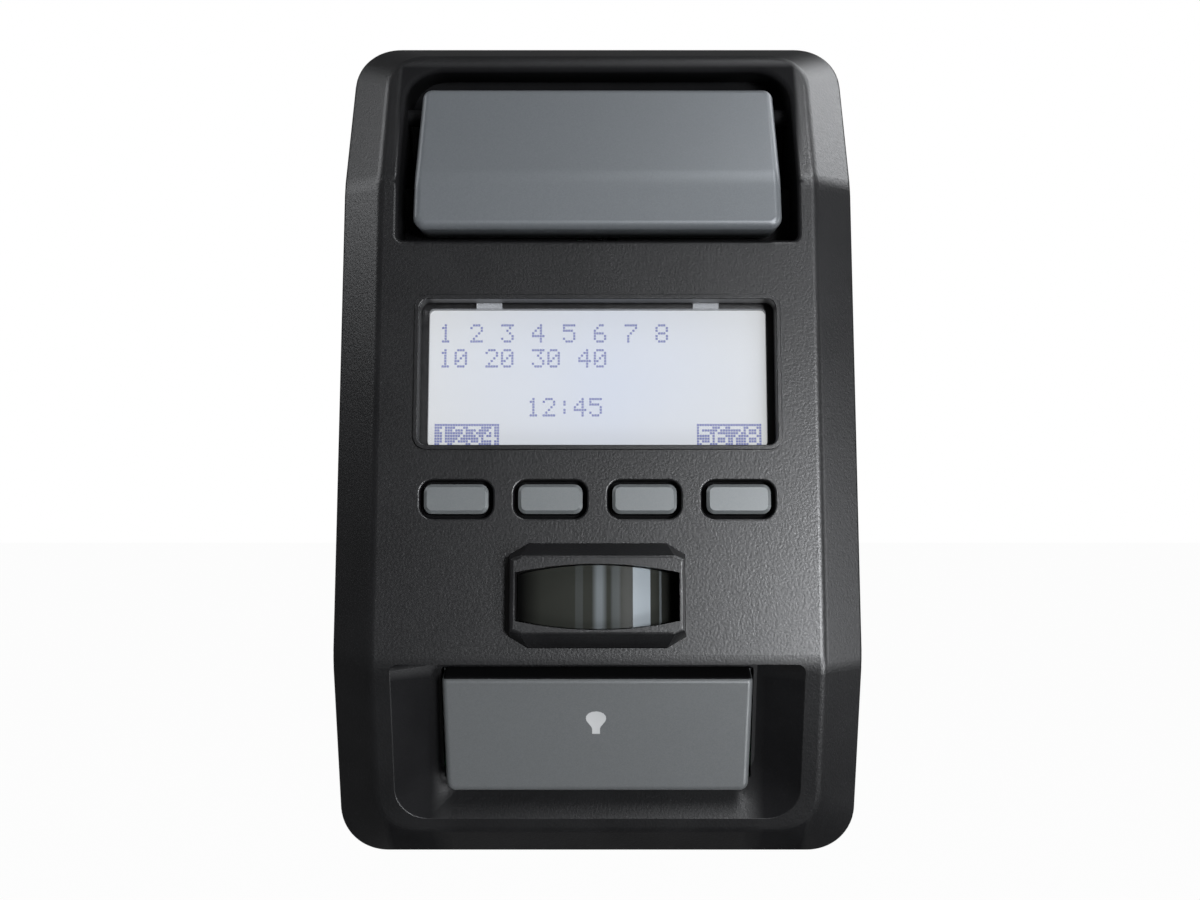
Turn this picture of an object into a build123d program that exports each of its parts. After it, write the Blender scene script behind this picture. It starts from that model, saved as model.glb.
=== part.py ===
from build123d import *
import math
import os

os.makedirs("parts", exist_ok=True)

# Lengths are in millimetres. The wall is at Y = 0, the front looks along -Y and +Z is up.
# A depth is a distance from the wall towards the front, so a point's Y is minus its depth.

# Body: plan size and side profile
body_width = 77.0
body_height = 125.0
corner_radius = 7.0
top_rim_depth = 7.0
top_lip_drop = 2.8
top_lip_depth = 13.2
crease_height = 38.0
crease_depth = 24.5
ridge_height = -32.5
ridge_depth = 34.0
bottom_lip_rise = 4.6
bottom_lip_depth = 27.2
bottom_rim_depth = 21.0
bevel_width = 6.1
bevel_drop = 5.0
crease_round = 7.0
corner_blend = 10.5
front_round = 2.0
rim_round = 0.8
front_wall = 2.4
side_wall = 2.2
behind_wall = 8.0
far_front = 60.0
spare = 4.0
facet_reach = 3.0

# Push bar, its recess and its hinge
recess_width = 59.2
recess_top = 57.0
recess_bottom = 29.0
recess_top_radius = 5.5
mouth_round = 0.7
mouth_slack = 1.0
recess_bottom_radius = 0.8
recess_wall = 1.8
deep_floor = 8.0
shallow_floor = 17.0
step_foot = 40.0
step_head = 38.0
bar_width = 53.4
bar_foot_width = 54.2
bar_top = 53.0
bar_top_depth = 18.9
bar_crease_height = 37.9
bar_crease_depth = 27.0
bar_bottom_gap = 1.3
bar_front_depth = 28.2
bar_wall = 1.8
bar_floor_gap = 2.5
bar_round = 1.1
bar_crease_round = 9.0
bar_lower_corner = 1.8
bar_upper_corner = 1.5
bar_pivot_height = 50.0
bar_pivot_depth = 13.0
bar_pin_radius = 1.3
bar_pin_bite = 1.4
bar_press_angle = 3.0
running_gap = 0.05
hole_clearance = 0.2

# Display
display_centre = 9.2
display_side_inset = 12.4
display_height = 21.6
opening_rise = 0.2
display_corner = 1.3
rim_width = 0.7
rim_height = 0.35
rim_edge_round = 0.15
window_side_gap = 1.15
window_end_gap = 0.6
window_drop = 2.5
window_thickness = 1.5
tab_width = 3.8
tab_reach = 2.1
tab_thickness = 0.9
tab_centre = 16.1
frame_margin = 2.7
frame_wall = 1.6
frame_lip = 0.8
frame_drop = 3.6
glass_thickness = 2.2
guide_thickness = 2.5
guide_ledge = 2.2
led_thickness = 1.1
led_length = 2.4
led_count = 3
connector_thickness = 1.8
connector_length = 46.0
connector_zone = 3.0
stack_gap = 0.1
fit_gap = 0.15
frame_corner = 1.0

# Keys
key_centre = -9.12
key_pitch = 13.55
key_width = 9.25
key_height = 4.25
key_corner = 1.2
key_gap = 0.65
key_well_round = 0.3
key_proud = 0.7
key_bevel = 0.45
key_flange = 1.5
key_flange_thickness = 1.3
key_stem = 3.0

# Motion sensor
sensor_centre = -23.05
collar_centre = -22.8
collar_width = 25.3
collar_height = 16.4
collar_proud = 3.2
collar_slope = 2.7
collar_round = 0.6
collar_side_slope = 0.25
collar_corner_width = 3.1
collar_corner_height = 2.0
lens_opening_width = 23.2
lens_opening_end = 6.8
lens_opening_middle = 9.3
lens_radius = 26.0
lens_proud = 1.3
lens_wall = 1.1
lens_gap = 0.15
lens_flange = 1.6
lens_flange_thickness = 1.2
lens_flange_corner = 1.0
lens_rib_width = 0.5
lens_rib_depth = 0.35
lens_rib_count = 9
can_radius = 4.1
can_height = 4.2
can_flange = 0.5
can_flange_thickness = 0.5
filter_width = 3.9
filter_height = 2.9
filter_thickness = 0.4
holder_wall = 1.2
holder_seat = 1.8

# Light bay and light button
bay_width = 59.2
bay_foot = -56.0
bay_depth = 4.2
bay_side_slope = 6.4
bay_top_slope = 0.7
bay_foot_slope = 4.2
bay_top_radius = 1.0
bay_foot_radius = 4.8
bay_floor_radius = 4.0
bay_wall = 1.8
bay_rise = 3.0
button_width = 44.6
button_foot_width = 43.6
button_top = -34.9
button_bottom = -51.2
button_top_drop = 0.8
button_foot_proud = 1.2
button_gap = 0.4
button_wall = 1.6
button_round = 0.8
button_top_corner = 0.6
button_foot_corner = 1.3
button_skirt = 5.6
button_pin_radius = 1.0
button_pin_length = 2.4
button_pin_drop = 7.9
button_pin_inset = 1.8
button_arm = 3.4
ear_thickness = 2.0
ear_gap = 0.5

# Board and switches
board_drop = 14.4
board_thickness = 1.6
board_side_inset = 9.5
board_top = 38.0
board_bottom = -48.0
board_corner = 1.0
post_radius = 2.2
post_side_inset = 12.5
post_top = 25.0
post_bottom = -28.0
screw_radius = 0.9
pilot_gap = 0.05
pilot_spare = 1.0
board_hole_radius = 1.25
board_screw_length = 8.0
screw_head_radius = 2.0
screw_head_height = 1.4
drive_width = 0.6
drive_length = 2.4
drive_depth = 0.7
switch_size = 6.0
switch_corner = 0.4
switch_height = 2.5
plunger_radius = 1.75
plunger_rise = 1.5
plunger_sink = 0.8
switch_travel = 0.3
travel_spare = 0.1
door_switch_height = 32.3
light_switch_along = -41.5
floor_slot_gap = 1.4
rib_width = 3.6
rib_thickness = 2.0
stem_radius = 2.0

# Rear cover, wall fixings and terminals
cover_gap = 0.15
plate_thickness = 2.4
lip_wall = 1.5
lip_height = 3.8
boss_radius = 2.6
boss_side_inset = 6.2
boss_foot_rise = 8.9
boss_top_drop = 40.5
pad_radius = 3.4
pad_height = 4.2
screw_sink = 2.6
cover_screw_length = 13.0
top_screw_height = 45.0
top_screw_radius = 2.1
driver_radius = 4.6
keyhole_height = -48.0
keyhole_radius = 4.5
keyhole_slot = 4.6
keyhole_rise = 8.0
pocket_width = 26.0
pocket_height = 14.0
pocket_centre = -15.0
pocket_floor = 7.0
pocket_wall = 1.6
terminal_across = 6.0
terminal_width = 8.6
terminal_height = 9.0
terminal_thickness = 0.8
terminal_leg = 2.0
terminal_leg_gap = 0.2
terminal_screw_radius = 1.45
terminal_head_radius = 3.0
terminal_head_height = 1.8
terminal_screw_length = 5.6

# Parts on the board
chip_size = 12.0
chip_height = 1.6
chip_corner = 0.3
chip_along = 4.0
capacitor_radius = 4.0
capacitor_length = 11.0
capacitor_across = 17.0
capacitor_along = -34.0
small_part_pitch = 4.2
small_part_length = 2.0
small_part_width = 1.25
small_part_height = 0.6
small_part_rows = 3
small_part_columns = 5
small_part_along = 22.0
pin_length = 1.0
pin_pitch = 0.8
pin_count = 11
pin_thickness = 0.3
capacitor_round = 0.6

# Places worked out from the sizes above
top_lip_height = body_height / 2 - top_lip_drop
bottom_lip_height = -body_height / 2 + bottom_lip_rise
crease_across = body_width / 2 - bevel_width
display_width = body_width - 2 * display_side_inset
board_width = body_width - 2 * board_side_inset
post_half_spacing = body_width / 2 - post_side_inset
panel_tilt = math.atan2(ridge_depth - crease_depth, crease_height - ridge_height)
lower_tilt = math.atan2(ridge_depth - bottom_lip_depth, ridge_height - bottom_lip_height)
panel_depth = ridge_depth + ridge_height * math.tan(panel_tilt)
panel_normal = Vector(0, -math.cos(panel_tilt), math.sin(panel_tilt))
lower_normal = Vector(0, -math.cos(lower_tilt), -math.sin(lower_tilt))
panel_origin = Vector(0, -panel_depth, 0)
ridge_origin = Vector(0, -ridge_depth, ridge_height)
across = Vector(1, 0, 0)
board_back = board_drop + board_thickness
plunger_face = board_drop - switch_height - plunger_rise
bar_bottom = recess_bottom + bar_bottom_gap


def panel(rise):
    """Plane parallel to the main panel, `rise` outside its outer surface."""
    return Plane(panel_origin + panel_normal * rise, x_dir=across, z_dir=panel_normal)


def lower(rise):
    """Plane parallel to the slope below the ridge, `rise` outside its outer surface."""
    return Plane(ridge_origin + lower_normal * rise, x_dir=across, z_dir=lower_normal)


def along(height):
    """Distance along the main panel to the point of its surface at this height."""
    return height / math.cos(panel_tilt)


def along_lower(height):
    """Distance along the lower slope, from the ridge, to its point at this height."""
    return (height - ridge_height) / math.cos(lower_tilt)


def corners_near(sketch, points):
    """The sketch's vertices that lie at the given points of its own plane."""
    return [v for v in sketch.vertices() if any((Vector(v) - Vector(*p)).length < 0.01 for p in points)]


def in_plane(edge, rise):
    """Whether an edge lies in the plane `rise` outside the main panel's outer surface."""
    return all(abs(panel(rise).to_local_coords(edge @ share).Z) < 0.01 for share in (0, 0.5, 1))


def free_edges(faces):
    """Edges that belong to only one of the given faces: the rim of a patch of faces."""
    seen = {}
    for face in faces:
        for edge in face.edges():
            seen.setdefault(tuple(round(c, 3) for c in edge.center()), []).append(edge)
    return [edges[0] for edges in seen.values() if len(edges) == 1]


def wedge(sink):
    """The body's wedge, its surface `sink` below the outer one, with bevelled sides and ends."""
    top, bottom = body_height / 2, -body_height / 2
    upper_fall = (crease_depth - top_lip_depth) / (top_lip_height - crease_height)
    lower_fall = (ridge_depth - bottom_lip_depth) / (ridge_height - bottom_lip_height)
    front = [
        (sink - ridge_depth + lower_fall * (ridge_height - bottom + spare), bottom - spare),
        (sink - ridge_depth, ridge_height),
        (sink - crease_depth, crease_height),
        (sink - crease_depth + upper_fall * (top + spare - crease_height), top + spare),
    ]
    top_run = facet_reach * (top_lip_depth - top_rim_depth)
    bottom_run = facet_reach * (bottom_lip_depth - bottom_rim_depth)
    ends = [
        (behind_wall, bottom),
        (sink - bottom_rim_depth, bottom),
        (sink - bottom_lip_depth - bottom_run, bottom_lip_height + facet_reach * bottom_lip_rise),
        (sink - top_lip_depth - top_run, top_lip_height - facet_reach * top_lip_drop),
        (sink - top_rim_depth, top),
        (behind_wall, top),
    ]
    with BuildPart() as form:
        with BuildSketch(Plane.YZ.offset(-crease_across)) as side:
            with BuildLine():
                Polyline(*front, (behind_wall, top + spare), (behind_wall, bottom - spare), close=True)
            make_face()
            fillet(corners_near(side, front[1:3]), crease_round)
        extrude(amount=2 * crease_across)
        right = form.faces().sort_by(Axis.X)[-1]
        left = form.faces().sort_by(Axis.X)[0]
        reach = math.hypot(bevel_width, bevel_drop)
        extrude(right, amount=reach, dir=(bevel_width, bevel_drop, 0))
        extrude(left, amount=reach, dir=(-bevel_width, bevel_drop, 0))
        with BuildSketch(Plane.YZ):
            with BuildLine():
                Polyline(*ends, close=True)
            make_face()
        extrude(amount=body_width, both=True, mode=Mode.INTERSECT)
        mitres = [
            e for e in form.edges() if abs((e @ 0).X - (e @ 1).X) > 0.01 and abs((e @ 0).Z - (e @ 1).Z) > 0.01
        ]
        fillet(mitres, corner_blend)
        fronts = [f for f in form.faces() if abs(f.normal_at().X) < 0.01 and f.normal_at().Y < -0.8]
        fillet(free_edges(fronts), front_round)
    return form.part


def outline(inset, depth_from, depth_to):
    """A block with the body's rounded outline, inset all round, between two depths."""
    with BuildPart() as block:
        with BuildSketch(Plane.XZ.offset(depth_from)):
            RectangleRounded(body_width - 2 * inset, body_height - 2 * inset, corner_radius - inset)
        extrude(amount=depth_to - depth_from)
    return block.part


def on_outline(point):
    """Whether a point of the body lies on its side walls."""
    over_x = abs(point.X) - (body_width / 2 - corner_radius)
    over_z = abs(point.Z) - (body_height / 2 - corner_radius)
    if over_x > 0 and over_z > 0:
        return abs(math.hypot(over_x, over_z) - corner_radius) < 0.02
    return abs(over_x - corner_radius) < 0.02 or abs(over_z - corner_radius) < 0.02


def recess(grow):
    """The push bar's recess, grown by `grow` on every side but the front."""
    with BuildPart() as block:
        width = recess_width + 2 * grow
        top, bottom = recess_top + grow, recess_bottom - grow
        with BuildSketch(Plane.XZ.offset(deep_floor - grow)) as plan:
            with Locations((0, (top + bottom) / 2)):
                Rectangle(width, top - bottom)
            fillet(plan.vertices().group_by(Axis.Y)[-1], recess_top_radius + grow)
            fillet(plan.vertices().group_by(Axis.Y)[0], recess_bottom_radius + grow)
        extrude(amount=far_front)
        with BuildSketch(Plane.YZ):
            with BuildLine():
                Polyline(
                    (-deep_floor + grow, top + far_front),
                    (-deep_floor + grow, step_foot - grow),
                    (-shallow_floor + grow, step_head - grow),
                    (-shallow_floor + grow, bottom - far_front),
                    (-2 * far_front, bottom - far_front),
                    (-2 * far_front, top + far_front),
                    close=True,
                )
            make_face()
        extrude(amount=body_width, both=True, mode=Mode.INTERSECT)
    return block.part


def on_mouth(point):
    """Whether a point lies on the recess's outline, at the body's outer surface."""
    half = recess_width / 2
    upper_fall = (crease_depth - top_lip_depth) / (top_lip_height - crease_height)
    fall = upper_fall if point.Z > crease_height else math.tan(panel_tilt)
    if abs(-point.Y - crease_depth + (point.Z - crease_height) * fall) > mouth_slack:
        return False
    over_x = abs(point.X) - half + recess_top_radius
    over_z = point.Z - recess_top + recess_top_radius
    if over_x > 0 and over_z > 0:
        return abs(math.hypot(over_x, over_z) - recess_top_radius) < 0.02
    on_side = abs(abs(point.X) - half) < 0.02 and recess_bottom < point.Z < recess_top
    on_end = min(abs(point.Z - recess_top), abs(point.Z - recess_bottom)) < 0.02 and abs(point.X) < half
    return on_side or on_end


def bay(grow):
    """The light button's bay, a dish with sloping sides, grown by `grow` all round."""
    bay_length = -along_lower(bay_foot)

    def section(level):
        share = level / bay_depth
        half = bay_width / 2 + bay_side_slope * share + grow
        top = bay_top_slope * share + grow
        foot = -bay_length - bay_foot_slope * share - grow
        round_share = max(1 + share, 0)
        with BuildSketch(lower(level)) as ring:
            with Locations((0, (top + foot) / 2)):
                Rectangle(2 * half, top - foot)
            fillet(ring.vertices().group_by(Axis.Y)[-1], bay_top_radius)
            foot_radius = bay_floor_radius + (bay_foot_radius - bay_floor_radius) * round_share
            fillet(ring.vertices().group_by(Axis.Y)[0], foot_radius + grow)
        return ring.sketch

    floor = section(-bay_depth)
    mouth = section(bay_rise)
    with BuildPart() as dish:
        loft([floor.face(), mouth.face()], ruled=True)
        if grow > 0:
            extrude(floor, amount=-grow)
    return dish.part


def barrel(narrower):
    """Barrel outline of the lens opening: straight ends, arched top and bottom."""
    half = lens_opening_width / 2 - narrower
    end = lens_opening_end / 2 - narrower
    middle = lens_opening_middle / 2 - narrower
    with BuildSketch() as outline_sketch:
        with BuildLine():
            ThreePointArc((-half, end), (0, middle), (half, end))
            Line((half, end), (half, -end))
            ThreePointArc((half, -end), (0, -middle), (-half, -end))
            Line((-half, -end), (-half, end))
        make_face()
    return outline_sketch.sketch


def octagon(width, height, cut_x, cut_y):
    """Corner points of a rectangle with cut corners."""
    half, tall = width / 2, height / 2
    return [
        (half - cut_x, tall),
        (half, tall - cut_y),
        (half, -tall + cut_y),
        (half - cut_x, -tall),
        (-half + cut_x, -tall),
        (-half, -tall + cut_y),
        (-half, tall - cut_y),
        (-half + cut_x, tall),
    ]


opening_along = along(display_centre) + opening_rise
key_places = [((i - 1.5) * key_pitch, along(key_centre)) for i in range(4)]
door_switch_along = (door_switch_height + plunger_face * math.sin(panel_tilt)) / math.cos(panel_tilt)
post_places = [(x, y) for x in (-post_half_spacing, post_half_spacing) for y in (post_bottom, post_top)]
boss_across = body_width / 2 - boss_side_inset
boss_foot = -body_height / 2 + boss_foot_rise
boss_top = body_height / 2 - boss_top_drop
boss_places = [(x, z) for x in (-boss_across, boss_across) for z in (boss_foot, boss_top)]
button_hole_width = button_width + 2 * button_gap
button_hole_top = along_lower(button_top) + button_gap
button_hole_foot = along_lower(button_bottom) - button_gap
button_pin_along = along_lower(button_top) - button_pin_inset

ear_across = [side * (button_width / 2 + ear_gap + ear_thickness / 2) for side in (-1, 1)]
bar_pivot = (-bar_pivot_depth, bar_pivot_height)
button_pin = lower(-button_pin_drop).from_local_coords(Vector(0, button_pin_along, 0))
button_pin_place = (button_pin.Y, button_pin.Z)
terminal_places = [(x, pocket_centre) for x in (-terminal_across, terminal_across)]
terminal_leg_reach = terminal_across + terminal_width / 2 - terminal_thickness / 2
terminal_leg_places = [(x, pocket_centre) for x in (-terminal_leg_reach, terminal_leg_reach)]

# Front cover: shell, recess, bay, collar, then the holes and the posts inside
outer = wedge(0) & outline(0, 0, far_front)
rim_edges = [
    e
    for e in outer.edges()
    if on_outline(e @ 0.5) and abs(e.tangent_at(0.5).Y) < 0.98 and e.center().Y < -rim_round
]
outer = fillet(rim_edges, rim_round)
inner = wedge(front_wall) & outline(side_wall, -behind_wall, far_front)
recess_block = recess(recess_wall) & outer
bay_block = bay(bay_wall) & outer
with BuildPart() as collar:
    with BuildSketch(panel(-front_wall / 2)):
        with Locations((0, along(collar_centre))):
            Polygon(*octagon(collar_width, collar_height, collar_corner_width, collar_corner_height))
    with BuildSketch(panel(collar_proud)):
        with Locations((0, along(collar_centre))):
            Polygon(
                *octagon(
                    collar_width - 2 * collar_side_slope,
                    collar_height - 2 * collar_slope,
                    collar_corner_width / 2,
                    collar_corner_height / 4,
                )
            )
    loft(ruled=True)
    fillet(collar.faces().sort_by(Axis(panel_origin, panel_normal))[-1].edges(), collar_round)

with BuildPart() as front_cover:
    add(outer)
    add(inner, mode=Mode.SUBTRACT)
    add(recess_block)
    add(bay_block)
    add(recess(0), mode=Mode.SUBTRACT)
    fillet([e for e in front_cover.edges() if on_mouth(e @ 0.5)], mouth_round)
    add(bay(0), mode=Mode.SUBTRACT)
    with BuildSketch(Plane.XZ.offset(pad_height + cover_gap)):
        with Locations(*boss_places):
            Circle(boss_radius)
    extrude(until=Until.NEXT)
    with BuildSketch(Plane.XZ.offset(pad_height + cover_gap)):
        with Locations(*boss_places):
            Circle(screw_radius + pilot_gap)
    extrude(amount=cover_screw_length - (pad_height - screw_sink) + pilot_spare, mode=Mode.SUBTRACT)
    with BuildSketch(panel(-board_drop)):
        with Locations(*post_places):
            Circle(post_radius)
    extrude(amount=board_drop - front_wall / 2)
    with BuildSketch(panel(-board_drop)):
        with Locations(*post_places):
            Circle(screw_radius + pilot_gap)
    extrude(amount=board_screw_length - board_thickness + pilot_spare, mode=Mode.SUBTRACT)
    with BuildSketch(panel(0)):
        with Locations((0, opening_along)):
            RectangleRounded(
                display_width + 2 * rim_width, display_height + 2 * rim_width, display_corner + rim_width
            )
    extrude(amount=rim_height)
    with BuildSketch(panel(-2 * front_wall)):
        with Locations((0, opening_along)):
            RectangleRounded(display_width, display_height, display_corner)
    extrude(amount=4 * front_wall, mode=Mode.SUBTRACT)
    fillet([e for e in front_cover.edges() if in_plane(e, rim_height)], rim_edge_round)
    with BuildSketch(panel(-2 * front_wall)):
        with Locations(*key_places):
            RectangleRounded(key_width + 2 * key_gap, key_height + 2 * key_gap, key_corner + key_gap)
    extrude(amount=4 * front_wall, mode=Mode.SUBTRACT)
    wells = [e for e in front_cover.edges() if in_plane(e, 0) and abs(e.center().Z - key_centre) < key_height]
    fillet([e for e in wells if abs(e.center().X) < 2 * key_pitch], key_well_round)
    add(collar.part)
    with BuildSketch(panel(-2 * front_wall)):
        with Locations((0, along(sensor_centre))):
            add(barrel(0))
    extrude(amount=4 * front_wall + collar_proud, mode=Mode.SUBTRACT)
    with BuildSketch(lower(-bay_depth - 2 * bay_wall)):
        with Locations((0, (button_hole_top + button_hole_foot) / 2)):
            RectangleRounded(button_hole_width, button_hole_top - button_hole_foot, button_top_corner)
    extrude(amount=3 * bay_wall, mode=Mode.SUBTRACT)
    with BuildSketch(lower(-bay_depth - bay_wall / 2)):
        with Locations(*[(x, button_pin_along) for x in ear_across]):
            Rectangle(ear_thickness, 2 * button_arm)
    extrude(amount=-(button_pin_drop + button_arm / 2 + hole_clearance - bay_depth - bay_wall / 2))
    with BuildSketch(Plane.YZ):
        with Locations(button_pin_place):
            Circle(button_pin_radius + running_gap)
    extrude(amount=button_width / 2 + ear_gap + ear_thickness, both=True, mode=Mode.SUBTRACT)
    with BuildSketch(Plane.YZ.offset(-recess_width / 2 - recess_wall)):
        with Locations(bar_pivot):
            Circle(bar_pin_radius + running_gap)
    extrude(amount=recess_width + 2 * recess_wall, mode=Mode.SUBTRACT)
    with BuildSketch(Plane.XZ.offset(deep_floor - 2 * recess_wall)):
        with Locations((0, top_screw_height)):
            Circle(driver_radius)
    extrude(amount=3 * recess_wall, mode=Mode.SUBTRACT)
    with BuildSketch(panel(-board_drop)):
        with Locations((0, door_switch_along)):
            Rectangle(rib_width + 2 * floor_slot_gap, rib_thickness + 2 * floor_slot_gap)
    extrude(amount=board_drop - front_wall, mode=Mode.SUBTRACT)
front_cover.part.label = "front_cover"
export_step(front_cover.part, "parts/front_cover.step")

# Rear cover: plate with a locating lip, screw pads, wall fixings and the terminal pocket
with BuildPart() as rear_cover:
    add(outline(side_wall + cover_gap, 0, plate_thickness))
    add(outline(side_wall + cover_gap, 0, lip_height))
    add(outline(side_wall + cover_gap + lip_wall, plate_thickness, far_front), mode=Mode.SUBTRACT)
    with BuildSketch(Plane.XZ):
        with Locations(*boss_places):
            Circle(pad_radius)
    extrude(amount=pad_height)
    add(outline(side_wall + cover_gap, 0, far_front), mode=Mode.INTERSECT)
    with BuildSketch(Plane.XZ):
        with Locations(*boss_places):
            Circle(screw_radius + hole_clearance)
    extrude(amount=pad_height, mode=Mode.SUBTRACT)
    with BuildSketch(Plane.XZ):
        with Locations(*boss_places):
            Circle(screw_head_radius + hole_clearance)
    extrude(amount=screw_sink, mode=Mode.SUBTRACT)
    with BuildSketch(Plane.XZ):
        with Locations((0, pocket_centre)):
            RectangleRounded(pocket_width + 2 * pocket_wall, pocket_height + 2 * pocket_wall, pocket_wall)
    extrude(amount=pocket_floor + pocket_wall)
    with BuildSketch(Plane.XZ):
        with Locations((0, pocket_centre)):
            Rectangle(pocket_width, pocket_height)
    extrude(amount=pocket_floor, mode=Mode.SUBTRACT)
    with BuildSketch(Plane.XZ.offset(pocket_floor)):
        with Locations(*terminal_places):
            Circle(terminal_head_radius)
    extrude(amount=terminal_screw_length)
    with BuildSketch(Plane.XZ.offset(pocket_floor)):
        with Locations(*terminal_places):
            Circle(terminal_screw_radius + pilot_gap)
        with Locations(*terminal_leg_places):
            Rectangle(terminal_thickness + 2 * terminal_leg_gap, terminal_leg + 2 * terminal_leg_gap)
    extrude(amount=terminal_screw_length, mode=Mode.SUBTRACT)
    with BuildSketch(Plane.XZ):
        with Locations((0, top_screw_height)):
            Circle(top_screw_radius)
        with Locations((0, keyhole_height)):
            Circle(keyhole_radius)
        with Locations((0, keyhole_height + keyhole_rise / 2)):
            SlotCenterToCenter(keyhole_rise, keyhole_slot, rotation=90)
    extrude(amount=plate_thickness, mode=Mode.SUBTRACT)
rear_cover.part.label = "rear_cover"
export_step(rear_cover.part, "parts/rear_cover.step")

# Screws: a low round head with a cross recess on a plain shank
def screw(plane, head_radius, head_height, shank_radius, length):
    """A screw whose head stands on the plane and whose shank goes down through it."""
    with BuildPart() as fastener:
        with BuildSketch(plane):
            Circle(head_radius)
        extrude(amount=head_height)
        fillet(fastener.edges().sort_by(lambda e: plane.to_local_coords(e.center()).Z)[-1], head_height / 3)
        with BuildSketch(plane):
            Circle(shank_radius)
        extrude(amount=-length)
        with BuildSketch(plane.offset(head_height - drive_depth)):
            Rectangle(drive_length * head_radius / screw_head_radius, drive_width)
            Rectangle(drive_width, drive_length * head_radius / screw_head_radius)
        extrude(amount=drive_depth, mode=Mode.SUBTRACT)
    return fastener.part


def save(part, name):
    """Label a finished piece and write its file."""
    part.label = name
    export_step(part, f"parts/{name}.step")


cover_screws = []
for x, z in boss_places:
    seat = Plane((x, -screw_sink, z), x_dir=across, z_dir=(0, 1, 0))
    cover_screws.append(
        screw(seat, screw_head_radius, screw_head_height, screw_radius, cover_screw_length)
    )
save(Compound(children=cover_screws), "cover_screws")

board_screws = []
for x, y in post_places:
    back = panel(-board_back)
    seat = Plane(back.from_local_coords(Vector(x, y, 0)), x_dir=across, z_dir=-panel_normal)
    board_screws.append(screw(seat, screw_head_radius, screw_head_height, screw_radius, board_screw_length))
save(Compound(children=board_screws), "board_screws")

# Circuit board, parallel to the main panel
with BuildPart() as circuit_board:
    with BuildSketch(panel(-board_back)):
        with Locations((0, (board_top + board_bottom) / 2)):
            RectangleRounded(board_width, board_top - board_bottom, board_corner)
    extrude(amount=board_thickness)
    with BuildSketch(panel(-board_back)):
        with Locations(*post_places):
            Circle(board_hole_radius)
    extrude(amount=board_thickness, mode=Mode.SUBTRACT)
save(circuit_board.part, "circuit_board")


def switch_bodies(places):
    """Square switch bodies on the board, each with a round bore for its plunger."""
    with BuildPart() as bodies:
        with BuildSketch(panel(-board_drop)):
            with Locations(*places):
                RectangleRounded(switch_size, switch_size, switch_corner)
        extrude(amount=switch_height)
        with BuildSketch(panel(-board_drop + switch_height)):
            with Locations(*places):
                Circle(plunger_radius + running_gap)
        extrude(amount=-plunger_sink - switch_travel - travel_spare, mode=Mode.SUBTRACT)
    return bodies.part


def plunger(place):
    """The round plunger of one switch, standing in its bore."""
    with BuildPart() as button:
        with BuildSketch(panel(-plunger_face)):
            with Locations(place):
                Circle(plunger_radius)
        extrude(amount=-plunger_rise - plunger_sink)
    return button.part


save(switch_bodies(key_places), "key_switches")
save(switch_bodies([(0, door_switch_along)]), "door_switch")
save(switch_bodies([(0, light_switch_along)]), "light_switch")
save(plunger((0, door_switch_along)), "door_switch_plunger")
save(plunger((0, light_switch_along)), "light_switch_plunger")

# Keys: rounded cap through the panel, flange behind it, stem down to the plunger
for number, place in enumerate(key_places, 1):
    with BuildPart() as key:
        with BuildSketch(panel(-front_wall - stack_gap)):
            with Locations(place):
                RectangleRounded(key_width, key_height, key_corner)
        extrude(amount=front_wall + stack_gap + key_proud)
        chamfer([e for e in key.edges() if in_plane(e, key_proud)], key_bevel)
        with BuildSketch(panel(-front_wall - stack_gap)):
            with Locations(place):
                RectangleRounded(key_width + 2 * key_flange, key_height + 2 * key_flange, key_corner)
        extrude(amount=-key_flange_thickness)
        with BuildSketch(panel(-front_wall - stack_gap)):
            with Locations(place):
                Rectangle(key_stem, key_stem)
        extrude(amount=-(plunger_face - running_gap - front_wall - stack_gap))
    save(key.part, f"key_{number}")
    save(plunger(place), f"key_{number}_plunger")

# Push bar: hollow grey shell with a soft crease, a rib for the switch and two hinge pins
bar_front = [
    (-bar_front_depth, bar_bottom),
    (-bar_crease_depth, bar_crease_height),
    (-bar_top_depth, bar_top),
]
bar_back = [
    (-deep_floor - bar_floor_gap, bar_top),
    (-deep_floor - bar_floor_gap, step_foot + bar_floor_gap),
    (-shallow_floor - bar_floor_gap, step_head + bar_floor_gap / 2),
    (-shallow_floor - bar_floor_gap, bar_bottom),
]
bar_slope = math.atan2(bar_crease_depth - bar_top_depth, bar_top - bar_crease_height)
bar_skin = bar_wall / math.cos(bar_slope)
press_gap = math.radians(bar_press_angle) * (bar_pivot_height - door_switch_height) + running_gap


with BuildPart() as bar_solid:
    with BuildSketch(Plane.YZ.offset(-bar_foot_width / 2)) as side:
        with BuildLine():
            Polyline(*bar_front, *bar_back, close=True)
        make_face()
        fillet(corners_near(side, bar_front[1:2]), bar_crease_round)
    extrude(amount=bar_foot_width)
    with BuildSketch(Plane.XZ):
        with BuildLine():
            Polyline(
                (-bar_foot_width / 2, bar_bottom),
                (bar_foot_width / 2, bar_bottom),
                (bar_width / 2, bar_top),
                (-bar_width / 2, bar_top),
                close=True,
            )
        make_face()
    extrude(amount=far_front, mode=Mode.INTERSECT)
    fillet(bar_solid.edges().filter_by(Axis.Y).group_by(Axis.Z)[0], bar_lower_corner)
    fillet(bar_solid.edges().filter_by(Axis.Y).group_by(Axis.Z)[-1], bar_upper_corner)
    faces = [f for f in bar_solid.faces() if f.normal_at().Y < -0.5 and f.center().Y < -bar_top_depth]
    fillet(free_edges(faces), bar_round)
with BuildPart() as switch_rib:
    with BuildSketch(panel(-plunger_face + press_gap)):
        with Locations((0, door_switch_along)):
            Rectangle(rib_width, rib_thickness)
    extrude(amount=plunger_face)
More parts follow.
